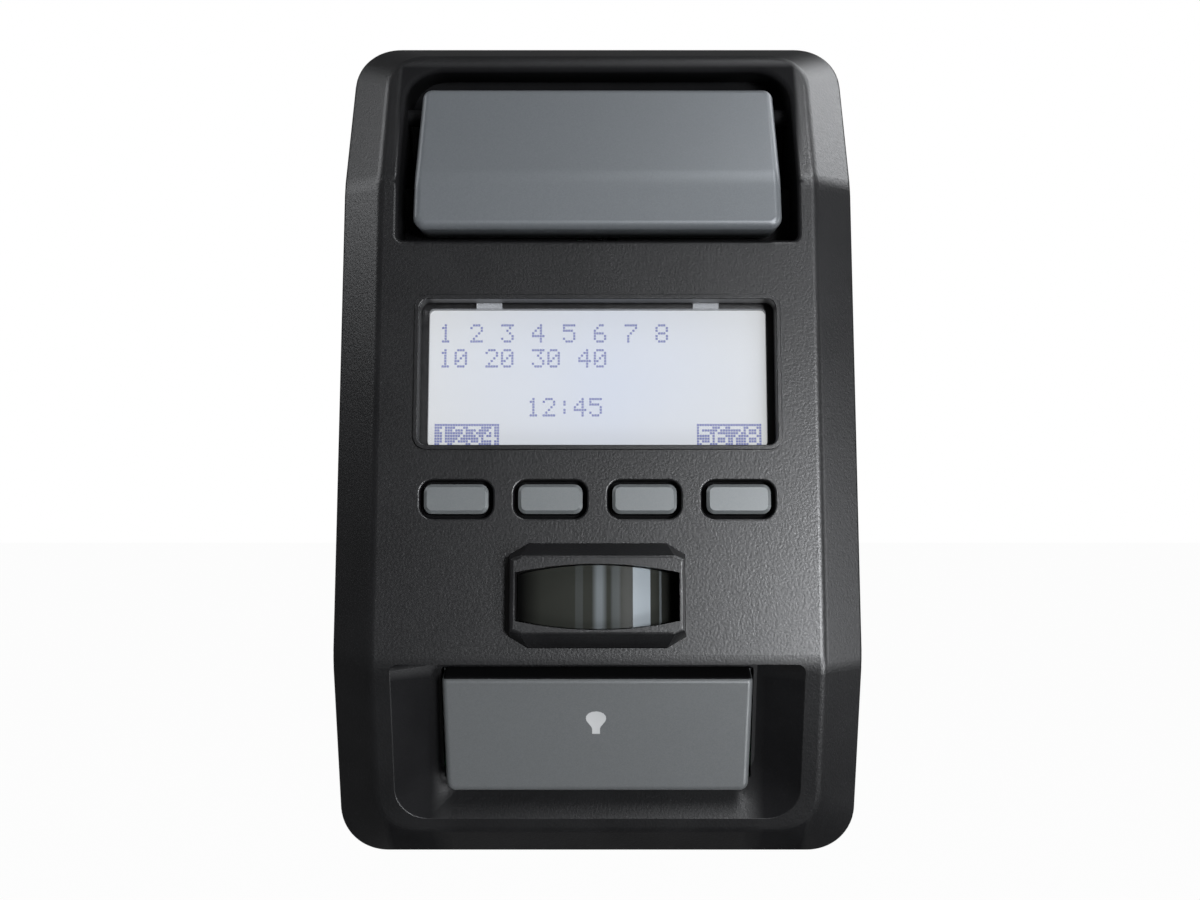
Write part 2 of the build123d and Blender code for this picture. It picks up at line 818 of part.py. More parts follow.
rib_foot = bar_solid.part & Pos(0, 0, bar_bottom) * Box(
    rib_width,
    2 * far_front,
    door_switch_height - bar_bottom,
    align=(Align.CENTER, Align.CENTER, Align.MIN),
)
with BuildPart() as push_bar:
    add(bar_solid.part)
    with BuildSketch(Plane.YZ.offset(-bar_width / 2 + bar_wall)):
        with BuildLine():
            Polyline(
                (-bar_front_depth + bar_skin, bar_bottom + bar_wall),
                (-bar_crease_depth + bar_skin, bar_crease_height),
                (-bar_top_depth + bar_skin, bar_top - bar_wall),
                (0, bar_top - bar_wall),
                (0, bar_bottom + bar_wall),
                close=True,
            )
        make_face()
    extrude(amount=bar_width - 2 * bar_wall, mode=Mode.SUBTRACT)
    add(switch_rib.part)
    add(rib_foot)
    for side in (-1, 1):
        with BuildSketch(Plane.YZ.offset(side * (bar_width / 2 - bar_wall))):
            with Locations(bar_pivot):
                Circle(bar_pin_radius)
        extrude(amount=side * ((recess_width - bar_width) / 2 + bar_wall + bar_pin_bite))
save(push_bar.part, "push_bar")

# Light button: hollow grey shell on two pinned arms, with a stem for its switch
lower_side = Plane(ridge_origin, x_dir=lower(0).y_dir, z_dir=across)
lower_axis = Axis(ridge_origin, lower_normal)
button_head = along_lower(button_top)
button_foot = along_lower(button_bottom)
with BuildPart() as button_solid:
    with BuildSketch(lower_side.offset(-button_width / 2)):
        with BuildLine():
            Polyline(
                (button_head, -button_top_drop),
                (button_foot, button_foot_proud),
                (button_foot, -button_skirt),
                (button_head, -button_skirt),
                close=True,
            )
        make_face()
    extrude(amount=button_width)
    with BuildSketch(lower(far_front)):
        with BuildLine():
            Polyline(
                (-button_foot_width / 2, button_foot),
                (button_foot_width / 2, button_foot),
                (button_width / 2, button_head),
                (-button_width / 2, button_head),
                close=True,
            )
        make_face()
    extrude(amount=-2 * far_front, mode=Mode.INTERSECT)
    fillet(button_solid.edges().filter_by(lower_axis).group_by(Axis.Z)[0], button_foot_corner)
    fillet(button_solid.edges().filter_by(lower_axis).group_by(Axis.Z)[-1], button_top_corner)
    fillet(free_edges([button_solid.faces().sort_by(lower_axis)[-1]]), button_round)
with BuildPart() as light_button:
    add(button_solid.part)
    with BuildSketch(lower_side.offset(-button_width / 2 + button_wall)):
        with BuildLine():
            Polyline(
                (button_head - button_wall, -button_top_drop - button_wall),
                (button_foot + button_wall, button_foot_proud - button_wall),
                (button_foot + button_wall, -far_front),
                (button_head - button_wall, -far_front),
                close=True,
            )
        make_face()
    extrude(amount=button_width - 2 * button_wall, mode=Mode.SUBTRACT)
    with BuildSketch(panel(-plunger_face + running_gap)):
        with Locations((0, light_switch_along)):
            Circle(stem_radius)
    extrude(until=Until.NEXT)
    for side in (-1, 1):
        inner_face = side * (button_width / 2 - button_wall)
        with BuildSketch(lower_side.offset(inner_face)):
            with Locations((button_pin_along, -(button_skirt + button_pin_drop) / 2)):
                Rectangle(button_arm, button_pin_drop - button_skirt + button_wall)
            with Locations((button_pin_along, -button_pin_drop)):
                Circle(button_arm / 2)
        extrude(amount=side * button_wall)
        with BuildSketch(lower_side.offset(inner_face)):
            with Locations((button_pin_along, -button_pin_drop)):
                Circle(button_pin_radius)
        extrude(amount=side * (button_wall + button_pin_length))
save(light_button.part, "light_button")

# Display: clear hooked window, glass, black frame, light guide, its lamps and the contact strip
display_along = along(display_centre)
window_width = display_width - 2 * window_side_gap
window_height = display_height - 2 * window_end_gap
glass_depth = frame_drop + frame_lip + stack_gap
guide_depth = glass_depth + glass_thickness + stack_gap
ledge_depth = guide_depth + guide_thickness + stack_gap
frame_width = display_width + 2 * frame_margin
frame_height = display_height + 2 * frame_margin
cavity_width = frame_width - 2 * frame_wall
cavity_height = frame_height - 2 * frame_wall
glass_width = cavity_width - 2 * fit_gap
glass_height = cavity_height - 2 * fit_gap
guide_length = glass_width - led_thickness - fit_gap
guide_height = glass_height - connector_zone


def slab(width, height, centre_x, centre_y, depth, thickness, radius=0):
    """A flat piece behind the main panel, its front face `depth` below the panel's surface."""
    with BuildPart() as plate:
        with BuildSketch(panel(-depth)):
            with Locations((centre_x, centre_y)):
                if radius > 0:
                    RectangleRounded(width, height, radius)
                else:
                    Rectangle(width, height)
        extrude(amount=-thickness)
    return plate.part


with BuildPart() as display_window:
    add(
        slab(
            window_width,
            window_height,
            0,
            display_along,
            window_drop,
            window_thickness,
            display_corner / 2,
        )
    )
    with BuildSketch(panel(-window_drop)):
        with GridLocations(2 * tab_centre, window_height, 2, 2):
            with Locations((0, display_along)):
                Rectangle(tab_width, 2 * tab_reach)
    extrude(amount=-tab_thickness)
save(display_window.part, "display_window")

save(slab(glass_width, glass_height, 0, display_along, glass_depth, glass_thickness), "display_glass")

with BuildPart() as display_frame:
    add(slab(frame_width, frame_height, 0, display_along, frame_drop, board_drop - frame_drop, frame_corner))
    add(
        slab(
            window_width + 2 * fit_gap,
            window_height + 2 * fit_gap,
            0,
            display_along,
            frame_drop,
            frame_lip + stack_gap,
            display_corner / 2 + fit_gap,
        ),
        mode=Mode.SUBTRACT,
    )
    add(
        slab(
            cavity_width,
            cavity_height,
            0,
            display_along,
            frame_drop + frame_lip,
            ledge_depth - frame_drop - frame_lip,
        ),
        mode=Mode.SUBTRACT,
    )
    add(
        slab(
            cavity_width - 2 * guide_ledge,
            cavity_height,
            0,
            display_along,
            frame_drop + frame_lip,
            board_drop,
        ),
        mode=Mode.SUBTRACT,
    )
save(display_frame.part, "display_frame")

save(
    slab(
        guide_length,
        guide_height,
        -(glass_width - guide_length) / 2,
        display_along + connector_zone / 2,
        guide_depth,
        guide_thickness,
    ),
    "light_guide",
)

with BuildPart() as backlight_leds:
    with BuildSketch(panel(-guide_depth)):
        with Locations(((glass_width - led_thickness) / 2, display_along + connector_zone / 2)):
            with GridLocations(0, guide_height / led_count, 1, led_count):
                Rectangle(led_thickness, led_length)
    extrude(amount=-guide_thickness)
save(backlight_leds.part, "backlight_leds")

connector_along = display_along - (glass_height - connector_zone) / 2
save(
    slab(
        connector_length,
        connector_thickness,
        0,
        connector_along,
        guide_depth,
        board_drop - guide_depth,
    ),
    "display_connector",
)

# Motion sensor: dark curved lens with a flange and fine ribs, shroud, metal can and its filter
sensor_along = along(sensor_centre)
lens_axis_drop = lens_radius - lens_proud
lens_back = front_wall + running_gap + lens_flange_thickness
flange_width = lens_opening_width + 2 * lens_flange
flange_height = lens_opening_middle + 2 * lens_flange
lens_end = Plane(
    panel(-lens_axis_drop).from_local_coords(Vector(0, sensor_along - flange_height, 0)),
    x_dir=across,
    z_dir=panel(0).y_dir,
)


def lens_disc(radius):
    """A cylinder whose axis lies along the panel, behind the lens."""
    with BuildPart() as disc:
        with BuildSketch(lens_end):
            Circle(radius)
        extrude(amount=2 * flange_height)
    return disc.part


def lens_body(shrink):
    """The barrel-shaped lens, its outline and its round front both smaller by `shrink`."""
    with BuildPart() as body:
        with BuildSketch(panel(-lens_back)):
            with Locations((0, sensor_along)):
                add(barrel(lens_gap + shrink))
        extrude(amount=lens_back + collar_proud)
        add(lens_disc(lens_radius - shrink), mode=Mode.INTERSECT)
    return body.part


with BuildPart() as motion_lens:
    add(lens_body(0))
    add(
        slab(
            flange_width,
            flange_height,
            0,
            sensor_along,
            front_wall + running_gap,
            lens_flange_thickness,
            lens_flange_corner,
        )
    )
    add(lens_body(lens_wall), mode=Mode.SUBTRACT)
    rib_length = lens_opening_end - 2 * lens_wall
    rib_pitch = (lens_opening_width - 4 * lens_wall) / lens_rib_count
    for i in range(lens_rib_count):
        rib_across = (i - (lens_rib_count - 1) / 2) * rib_pitch
        rib_back = math.sqrt((lens_radius - lens_wall) ** 2 - rib_across**2) - lens_axis_drop
        add(
            slab(
                lens_rib_width,
                rib_length,
                rib_across,
                sensor_along,
                lens_rib_depth - rib_back - lens_wall / 2,
                lens_wall / 2 + lens_rib_depth,
            )
        )
save(motion_lens.part, "motion_lens")

holder_front = lens_back + stack_gap
can_rim_radius = can_radius + can_flange
with BuildPart() as motion_sensor_holder:
    add(
        slab(
            flange_width,
            flange_height,
            0,
            sensor_along,
            holder_front,
            board_drop - holder_front,
            lens_flange_corner,
        )
    )
    add(
        slab(
            flange_width - 2 * holder_wall,
            flange_height - 2 * holder_wall,
            0,
            sensor_along,
            holder_front,
            board_drop - holder_front - holder_seat,
        ),
        mode=Mode.SUBTRACT,
    )
    with BuildSketch(panel(-board_drop)):
        with Locations((0, sensor_along)):
            Circle(can_rim_radius + stack_gap)
    extrude(amount=holder_seat, mode=Mode.SUBTRACT)
save(motion_sensor_holder.part, "motion_sensor_holder")

with BuildPart() as motion_sensor_can:
    with BuildSketch(panel(-board_drop)):
        with Locations((0, sensor_along)):
            Circle(can_rim_radius)
    extrude(amount=can_flange_thickness)
    with BuildSketch(panel(-board_drop)):
        with Locations((0, sensor_along)):
            Circle(can_radius)
    extrude(amount=can_height)
    with BuildSketch(panel(-board_drop + can_height)):
        with Locations((0, sensor_along)):
            Rectangle(filter_width + 2 * stack_gap, filter_height + 2 * stack_gap)
    extrude(amount=-filter_thickness - stack_gap, mode=Mode.SUBTRACT)
save(motion_sensor_can.part, "motion_sensor_can")

filter_depth = board_drop - can_height + stack_gap
save(
    slab(filter_width, filter_height, 0, sensor_along, filter_depth, filter_thickness),
    "motion_sensor_window",
)

# Parts on the back of the board
with BuildPart() as microcontroller:
    with BuildSketch(panel(-board_back)):
        with Locations((0, chip_along)):
            RectangleRounded(chip_size - 2 * pin_length, chip_size - 2 * pin_length, chip_corner)
    extrude(amount=-chip_height)
    with BuildSketch(panel(-board_back)):
        for turn in (0, 90):
            with Locations(Location((0, chip_along), turn)):
                with GridLocations(chip_size - 2 * pin_length, pin_pitch, 2, pin_count):
                    Rectangle(2 * pin_length, pin_pitch / 2)
    extrude(amount=-pin_thickness)
save(microcontroller.part, "microcontroller")

capacitor_axis = panel(-board_back - capacitor_radius).from_local_coords(
    Vector(capacitor_across - capacitor_length / 2, capacitor_along, 0)
)
with BuildPart() as storage_capacitor:
    with BuildSketch(Plane(capacitor_axis, x_dir=panel(0).y_dir, z_dir=across)):
        Circle(capacitor_radius)
    extrude(amount=capacitor_length)
    fillet(storage_capacitor.edges().filter_by(GeomType.CIRCLE), capacitor_round)
save(storage_capacitor.part, "storage_capacitor")

with BuildPart() as board_components:
    with BuildSketch(panel(-board_back)):
        with Locations((0, small_part_along)):
            with GridLocations(small_part_pitch, small_part_pitch, small_part_columns, small_part_rows):
                Rectangle(small_part_length, small_part_width)
    extrude(amount=-small_part_height)
save(board_components.part, "board_components")

# Wire terminals in the rear cover's pocket: two bent plates and their clamping screws
plate_face = pocket_floor - terminal_thickness
board_back_depth = panel_depth - pocket_centre * math.tan(panel_tilt) - board_back / math.cos(panel_tilt)
leg_length = board_back_depth - terminal_leg_gap - terminal_leg * math.tan(panel_tilt) - pocket_floor
with BuildPart() as terminal_plates:
    with BuildSketch(Plane.XZ.offset(plate_face)):
        with Locations(*terminal_places):
            Rectangle(terminal_width, terminal_height)
            Circle(terminal_screw_radius + hole_clearance, mode=Mode.SUBTRACT)
    extrude(amount=terminal_thickness)
    with BuildSketch(Plane.XZ.offset(pocket_floor)):
        with Locations(*terminal_leg_places):
            Rectangle(terminal_thickness, terminal_leg)
    extrude(amount=leg_length)
save(terminal_plates.part, "terminal_plates")

terminal_screws = [
    screw(
        Plane((x, -plate_face, z), x_dir=across, z_dir=(0, 1, 0)),
        terminal_head_radius,
        terminal_head_height,
        terminal_screw_radius,
        terminal_screw_length,
    )
    for x, z in terminal_places
]
save(Compound(children=terminal_screws), "terminal_screws")
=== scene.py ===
import math

import bmesh
import bpy
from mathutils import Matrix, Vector


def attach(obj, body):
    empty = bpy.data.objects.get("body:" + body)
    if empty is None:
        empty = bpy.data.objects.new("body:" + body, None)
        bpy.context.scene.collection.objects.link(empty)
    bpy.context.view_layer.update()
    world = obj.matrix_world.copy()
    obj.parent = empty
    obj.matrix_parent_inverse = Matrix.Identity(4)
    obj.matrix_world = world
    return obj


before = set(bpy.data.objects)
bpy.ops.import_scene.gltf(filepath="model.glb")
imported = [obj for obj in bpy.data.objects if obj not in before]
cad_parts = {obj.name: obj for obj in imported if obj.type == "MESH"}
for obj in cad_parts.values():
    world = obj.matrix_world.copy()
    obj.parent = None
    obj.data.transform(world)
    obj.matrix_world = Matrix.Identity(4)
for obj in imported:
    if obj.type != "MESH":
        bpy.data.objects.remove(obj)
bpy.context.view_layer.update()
mm = 0.001
print("frame loaded,", len(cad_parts), "nodes")

# Corners of the cover's front as seen from the side: depth from the wall and height, in mm
coverProfile = {
    "topEdge": (12.0, 62.5),
    "upperCrease": (24.5, 38.0),
    "ridge": (34.0, -32.5),
    "footEdge": (26.0, -62.5),
}


def frontFace(upper, lower):
    # one flat face of the front: its tilt, the ways up along it and towards the wall,
    # and how far it lies on the last of these
    (upperDepth, upperHeight), (lowerDepth, lowerHeight) = coverProfile[upper], coverProfile[lower]
    tilt = math.atan2(lowerDepth - upperDepth, upperHeight - lowerHeight)
    inward = Vector((0.0, math.cos(tilt), -math.sin(tilt)))
    return {
        "tilt": tilt,
        "along": Vector((0.0, math.sin(tilt), math.cos(tilt))),
        "inward": inward,
        "level": inward.dot(Vector((0.0, -upperDepth, upperHeight))),
    }


topFace = frontFace("topEdge", "upperCrease")
panel = frontFace("upperCrease", "ridge")
footFace = frontFace("ridge", "footEdge")


def onPanel(across, along, proud):
    # a place on the main panel, measured from where it crosses the middle height
    middle = Vector((across, panel["level"] / math.cos(panel["tilt"]), 0.0))
    return (middle + panel["along"] * along - panel["inward"] * proud) * mm


def hexColour(code):
    channels = [int(code[i : i + 2], 16) / 255 for i in (1, 3, 5)]
    linear = [c / 12.92 if c <= 0.04045 else ((c + 0.055) / 1.055) ** 2.4 for c in channels]
    return (*linear, 1.0)


def addNode(tree, kind, inputs=None, **settings):
    node = tree.nodes.new(kind)
    for name, value in settings.items():
        setattr(node, name, value)
    for socket, value in (inputs or {}).items():
        if isinstance(value, bpy.types.NodeSocket):
            tree.links.new(value, node.inputs[socket])
        else:
            node.inputs[socket].default_value = value
    return node


def newMaterial(name):
    material = bpy.data.materials.new(name)
    material.use_nodes = True
    tree = material.node_tree
    shader = tree.nodes["Principled BSDF"]
    place = addNode(tree, "ShaderNodeTexCoord").outputs["Object"]
    return material, tree, shader, place


def calculate(tree, operation, first, second=0.0):
    return addNode(tree, "ShaderNodeMath", {0: first, 1: second}, operation=operation).outputs[0]


def reachAlong(tree, place, direction):
    dot = addNode(tree, "ShaderNodeVectorMath", {0: place, 1: direction}, operation="DOT_PRODUCT")
    return dot.outputs["Value"]


def blend(tree, share, first, second):
    return addNode(tree, "ShaderNodeMix", {0: share, 2: first, 3: second}).outputs[0]


def mixColours(tree, share, first, second):
    # first and second are colours or colour sockets
    return addNode(
        tree, "ShaderNodeMix", {0: share, 6: first, 7: second}, data_type="RGBA"
    ).outputs[2]


def remap(tree, value, low, high, fromLow=0.0, fromHigh=1.0):
    return addNode(
        tree,
        "ShaderNodeMapRange",
        {"Value": value, "From Min": fromLow, "From Max": fromHigh, "To Min": low, "To Max": high},
    ).outputs["Result"]


noiseSpan = (0.3, 0.7)  # nearly all of a noise lies between these


def noiseAt(tree, place, sizeMm, detail=2.0):
    # a noise whose lumps are about this size
    return addNode(
        tree, "ShaderNodeTexNoise", {"Vector": place, "Scale": 1 / (sizeMm * mm), "Detail": detail}
    ).outputs["Fac"]


def addBump(tree, shader, height, strength, depthMm):
    bump = addNode(
        tree, "ShaderNodeBump", {"Height": height, "Strength": strength, "Distance": depthMm * mm}
    )
    tree.links.new(bump.outputs["Normal"], shader.inputs["Normal"])


def addDullPlaces(tree, shader, place, uneven, settings):
    # each dull place lies within planes: a direction, where the dullness starts and where it is full
    dull = 0.0
    for planes in settings["dullPlaces"]:
        inside = 1.0
        for direction, starts, full in planes:
            share = remap(tree, reachAlong(tree, place, direction), 0.0, 1.0, starts * mm, full * mm)
            inside = calculate(tree, "MULTIPLY", inside, share)
        dull = calculate(tree, "MAXIMUM", dull, inside)
    shine = blend(tree, dull, settings["specular"], settings["dullSpecular"])
    tree.links.new(shine, shader.inputs["Specular IOR Level"])
    tree.links.new(blend(tree, dull, uneven, settings["dullRoughness"]), shader.inputs["Roughness"])


def mouldedPlastic(name, settings):
    # plastic against a spark-eroded or polished tool: even colour, fine grain, soft shine
    material, tree, shader, place = newMaterial(name)
    grain = noiseAt(tree, place, settings["grainMm"], detail=3.0)
    cloud = noiseAt(tree, place, settings["cloudMm"])
    shade = remap(tree, cloud, 0.0, 1.0, *noiseSpan)
    colour = mixColours(tree, shade, hexColour(settings["colour"]), hexColour(settings["second"]))
    tree.links.new(colour, shader.inputs["Base Color"])
    low, high = settings["roughness"]
    uneven = remap(tree, grain, low, high, *noiseSpan)
    tree.links.new(uneven, shader.inputs["Roughness"])
    addBump(tree, shader, grain, settings["bump"], settings["grainDepth"])
    shader.inputs["Specular IOR Level"].default_value = settings["specular"]
    if "dullPlaces" in settings:
        addDullPlaces(tree, shader, place, uneven, settings)
    return material


def satinPaint(name, settings):
    # sprayed satin coat with fine metallic flake, which leaves the sides and ends of a piece bare
    # black; that black also serves as painted shade in the gaps around the piece and on the top of the
    # light button
    material, tree, shader, place = newMaterial(name)
    flake = addNode(
        tree, "ShaderNodeTexVoronoi", {"Vector": place, "Scale": 1 / (settings["flakeMm"] * mm)}
    ).outputs["Color"]
    spread = addNode(tree, "ShaderNodeSeparateColor", {"Color": flake}).outputs["Red"]
    colour = mixColours(tree, spread, hexColour(settings["colour"]), hexColour(settings["second"]))
    # the spray reaches only what faces the front: past these limits the moulding is bare black, partly
    # painted shade
    bareAndShaded = 0.0
    for direction, limit in settings["bareAndShaded"]:
        past = calculate(tree, "GREATER_THAN", reachAlong(tree, place, direction), limit * mm)
        bareAndShaded = calculate(tree, "MAXIMUM", bareAndShaded, past)
    colour = mixColours(tree, bareAndShaded, colour, hexColour(settings["bareAndShadeColour"]))
    tree.links.new(blend(tree, bareAndShaded, settings["metallic"], 0.0), shader.inputs["Metallic"])
    shine = blend(tree, bareAndShaded, settings["specular"], settings["bareAndShadedSpecular"])
    tree.links.new(shine, shader.inputs["Specular IOR Level"])
    tree.links.new(colour, shader.inputs["Base Color"])
    orangePeel = noiseAt(tree, place, settings["peelMm"], detail=1.0)
    low, high = settings["roughness"]
    coated = remap(tree, spread, low, high)
    tree.links.new(blend(tree, bareAndShaded, coated, settings["bareAndShadedRoughness"]), shader.inputs["Roughness"])
    addBump(tree, shader, orangePeel, settings["bump"], settings["peelDepth"])
    return material


def plainMetal(name, settings):
    # turned or stamped metal: fine tool lines across it, a little uneven shine
    material, tree, shader, place = newMaterial(name)
    stretched = addNode(
        tree, "ShaderNodeMapping", {"Vector": place, "Scale": settings["stretch"]}
    ).outputs["Vector"]
    lines = noiseAt(tree, stretched, settings["lineMm"])
    colour = mixColours(tree, lines, hexColour(settings["colour"]), hexColour(settings["second"]))
    tree.links.new(colour, shader.inputs["Base Color"])
    shader.inputs["Metallic"].default_value = 1.0
    low, high = settings["roughness"]
    tree.links.new(remap(tree, lines, low, high, *noiseSpan), shader.inputs["Roughness"])
    addBump(tree, shader, lines, settings["bump"], settings["lineDepth"])
    return material


polycarbonateIor = 1.585


def clearWindow(name, settings):
    # moulded clear polycarbonate: glossy, with a faint milky haze; its hook tabs catch the backlight
    material, tree, shader, place = newMaterial(name)
    haze = noiseAt(tree, place, settings["hazeMm"])
    tree.links.new(remap(tree, haze, *settings["roughness"]), shader.inputs["Roughness"])
    height = reachAlong(tree, place, panel["along"])
    fromMiddle = calculate(tree, "SUBTRACT", height, settings["middle"] * mm)
    beyond = calculate(tree, "ABSOLUTE", fromMiddle)
    tab = calculate(tree, "GREATER_THAN", beyond, settings["halfHeight"] * mm)
    shader.inputs["Base Color"].default_value = hexColour(settings["colour"])
    shader.inputs["IOR"].default_value = polycarbonateIor
    tree.links.new(blend(tree, tab, settings["alpha"], settings["tabAlpha"]), shader.inputs["Alpha"])
    shader.inputs["Emission Color"].default_value = hexColour(settings["tabGlow"])
    tree.links.new(blend(tree, tab, 0.0, settings["tabStrength"]), shader.inputs["Emission Strength"])
    return material


def litDisplay(name, settings):
    # liquid crystal glass over an even white backlight: bluish in the middle, warmer at the rim
    material, tree, shader, place = newMaterial(name)
    turned = addNode(
        tree,
        "ShaderNodeMapping",
        {"Vector": place, "Location": settings["shift"], "Scale": settings["scale"]},
    ).outputs["Vector"]
    glow = addNode(tree, "ShaderNodeTexGradient", {"Vector": turned}, gradient_type="SPHERICAL")
    cloud = noiseAt(tree, place, settings["cloudMm"])
    patchy = remap(tree, cloud, *settings["patchy"])
    share = calculate(tree, "MULTIPLY", glow.outputs["Fac"], patchy)
    colour = mixColours(tree, share, hexColour(settings["rim"]), hexColour(settings["middle"]))
    shader.inputs["Base Color"].default_value = hexColour(settings["body"])
    tree.links.new(colour, shader.inputs["Emission Color"])
    shader.inputs["Emission Strength"].default_value = settings["strength"]
    shader.inputs["Roughness"].default_value = settings["roughness"]
    shader.inputs["Specular IOR Level"].default_value = settings["specular"]
    return material


def inkOnGlass(name, settings):
    # dark liquid crystal dots: blue-violet, a little uneven from dot to dot
    material, tree, shader, place = newMaterial(name)
    cloud = noiseAt(tree, place, settings["cloudMm"])
    colour = mixColours(tree, cloud, hexColour(settings["colour"]), hexColour(settings["second"]))
    shader.inputs["Base Color"].default_value = hexColour(settings["body"])
    tree.links.new(colour, shader.inputs["Emission Color"])
    shader.inputs["Emission Strength"].default_value = settings["strength"]
    shader.inputs["Roughness"].default_value = settings["roughness"]
    shader.inputs["Specular IOR Level"].default_value = settings["specular"]
    return material


def smokedLens(name, settings):
    # smoked polycarbonate, near black, with painted light in its colour: upright bands of painted
    # highlight where the ribs inside it would catch the light, and painted shade towards both ends
    material, tree, shader, place = newMaterial(name)
    side = reachAlong(tree, place, rightward)
    # painted highlights: bright upright bands mixed into the lens colour
    paintedGlintShare = 0.0
    for middle, halfWidth, fade, share in settings["ribs"]:
        away = calculate(tree, "ABSOLUTE", calculate(tree, "SUBTRACT", side, middle * mm))
        lit = remap(tree, away, share, 0.0, halfWidth * mm, (halfWidth + fade) * mm)
        paintedGlintShare = calculate(tree, "MAXIMUM", paintedGlintShare, lit)
    # painted shade: the colour darkens towards both ends of the lens
    fromMiddle = calculate(tree, "ABSOLUTE", side)
    endShade = remap(tree, fromMiddle, 0.0, 1.0, *(reach * mm for reach in settings["paintedShadeReach"]))
    body = mixColours(tree, endShade, hexColour(settings["colour"]), hexColour(settings["ends"]))
    colour = mixColours(tree, paintedGlintShare, body, hexColour(settings["paintedGlint"]))
    tree.links.new(colour, shader.inputs["Base Color"])
    swirl = noiseAt(tree, place, settings["swirlMm"])
    tree.links.new(remap(tree, swirl, *settings["roughness"]), shader.inputs["Roughness"])
    shader.inputs["IOR"].default_value = polycarbonateIor
    shader.inputs["Specular IOR Level"].default_value = settings["specular"]
    return material


def solderMask(name, settings):
    # green lacquer over copper tracks on a glass-fibre board
    material, tree, shader, place = newMaterial(name)
    tracks = addNode(
        tree,
        "ShaderNodeTexBrick",
        {
            "Vector": place,
            "Scale": 1 / (settings["trackMm"] * mm),
            "Mortar Size": settings["trackWidth"],
            "Color1": hexColour(settings["colour"]),
            "Color2": hexColour(settings["second"]),
            "Mortar": hexColour(settings["trackColour"]),
        },
    )
    tree.links.new(tracks.outputs["Color"], shader.inputs["Base Color"])
    addBump(tree, shader, tracks.outputs["Fac"], settings["bump"], settings["trackDepth"])
    shader.inputs["Roughness"].default_value = settings["roughness"]
    return material


blackAbs = {
    "colour": "#0b0b0c",
    "second": "#101011",
    "grainMm": 0.36,
    "cloudMm": 9.0,
    "roughness": (0.31, 0.37),
    "bump": 0.9,
    "grainDepth": 0.03,
    "specular": 0.4,
}
# how far behind a front face the dullness starts, and where it is full, in mm
justBehind = (0.02, 0.12)
rightward, leftward, upward = (1.0, 0.0, 0.0), (-1.0, 0.0, 0.0), (0.0, 0.0, 1.0)


def behind(face):
    return (face["inward"], *(face["level"] + step for step in justBehind))


coverAbs = {
    **blackAbs,
    "dullSpecular": 0.05,
    "dullRoughness": 0.75,
    "dullPlaces": (
        # the left and the right end of the light bay
        *(
            ((side, 21.5, 24.5), (side, 31.5, 30.5), (upward, -33.0, -35.0), behind(footFace))
            for side in (leftward, rightward)
        ),
        # the push bar's recess
        (
            (leftward, 31.0, 30.3),
            (rightward, 31.0, 30.3),
            (upward, 58.8, 57.6),
            (upward, 24.0, 25.0),
            behind(topFace),
            behind(panel),
        ),
    ),
}
smoothBlack = {**blackAbs, "grainMm": 0.8, "roughness": (0.3, 0.4), "bump": 0.1}
epoxyBlack = {
    **blackAbs,
    "colour": "#1a1a1c",
    "second": "#232325",
    "grainMm": 0.15,
    "roughness": (0.5, 0.65),
}
ivoryAcetal = {**smoothBlack, "colour": "#cfc9ba", "second": "#d8d3c6"}
siliconeRubber = {**blackAbs, "colour": "#232325", "second": "#2b2b2e", "roughness": (0.6, 0.75)}
frostedAcrylic = {**smoothBlack, "colour": "#e4e8ee", "second": "#f0f2f6", "roughness": (0.35, 0.5)}
lampResin = {**smoothBlack, "colour": "#e6dfb4", "second": "#f2eccb"}
ceramicParts = {**epoxyBlack, "colour": "#6e5a40", "second": "#8d7a5c"}
infraredFilter = {**smoothBlack, "colour": "#2b2028", "second": "#332630", "roughness": (0.08, 0.14)}
greyCoat = {
    "colour": "#4f5253",
    "second": "#555859",
    "bareAndShadeColour": "#0d0d0e",
    "bareAndShadedRoughness": 0.7,
    "specular": 0.5,
    "bareAndShadedSpecular": 0.05,
    "flakeMm": 0.12,
    "metallic": 0.3,
    "roughness": (0.36, 0.42),
    "peelMm": 1.2,
    "peelDepth": 0.02,
    "bump": 0.15,
}
# the key flanges under the panel are bare black moulding, which also acts as painted shade in the gaps
# around the keys
keyCoat = {**greyCoat, "bareAndShaded": ((panel["inward"], panel["level"] + 0.355),)}
# painted light and shade: the keys, the bar and the button carry one grey coat, here in a lighter shade
# on the keys and darker shades on the bar and on the button
barCoat = {
    **greyCoat,
    "colour": "#4a4d50",
    "second": "#505356",
    # the bar's hinge pins are bare black moulding, which also acts as painted shade in the gaps beside
    # the bar
    "bareAndShaded": ((rightward, 27.15), (leftward, 27.15)),
}
buttonCoat = {
    **greyCoat,
    "colour": "#464849",
    "second": "#4c4e4f",
    # painted shade: above the last limit the light button's top side is black, standing in for the
    # shadow the ridge casts on it; past the two side limits its ends are bare moulding
    "bareAndShaded": ((rightward, 22.4), (leftward, 22.4), (footFace["along"], -25.28)),
}
zincSteel = {
    "colour": "#a9aaa8",
    "second": "#c2c2be",
    "stretch": (1.0, 0.2, 1.0),
    "lineMm": 0.3,
    "lineDepth": 0.01,
    "bump": 0.2,
    "roughness": (0.28, 0.42),
}
drawnSteel = {**zincSteel, "colour": "#bdbcb6", "second": "#d0cfc9", "roughness": (0.2, 0.32)}
sleevedAluminium = {**zincSteel, "colour": "#8d929c", "second": "#a3a8b2", "roughness": (0.3, 0.4)}
platedBrass = {**zincSteel, "colour": "#c9a55c", "second": "#dcbc76", "roughness": (0.25, 0.38)}
window = {
    "colour": "#eef1f6",
    "hazeMm": 12.0,
    "roughness": (0.05, 0.12),
    "alpha": 0.06,
    "middle": 5.33,
    "halfHeight": 10.25,
    "tabAlpha": 0.13,
    "tabGlow": "#c8ccd2",
    "tabStrength": 0.14,
}
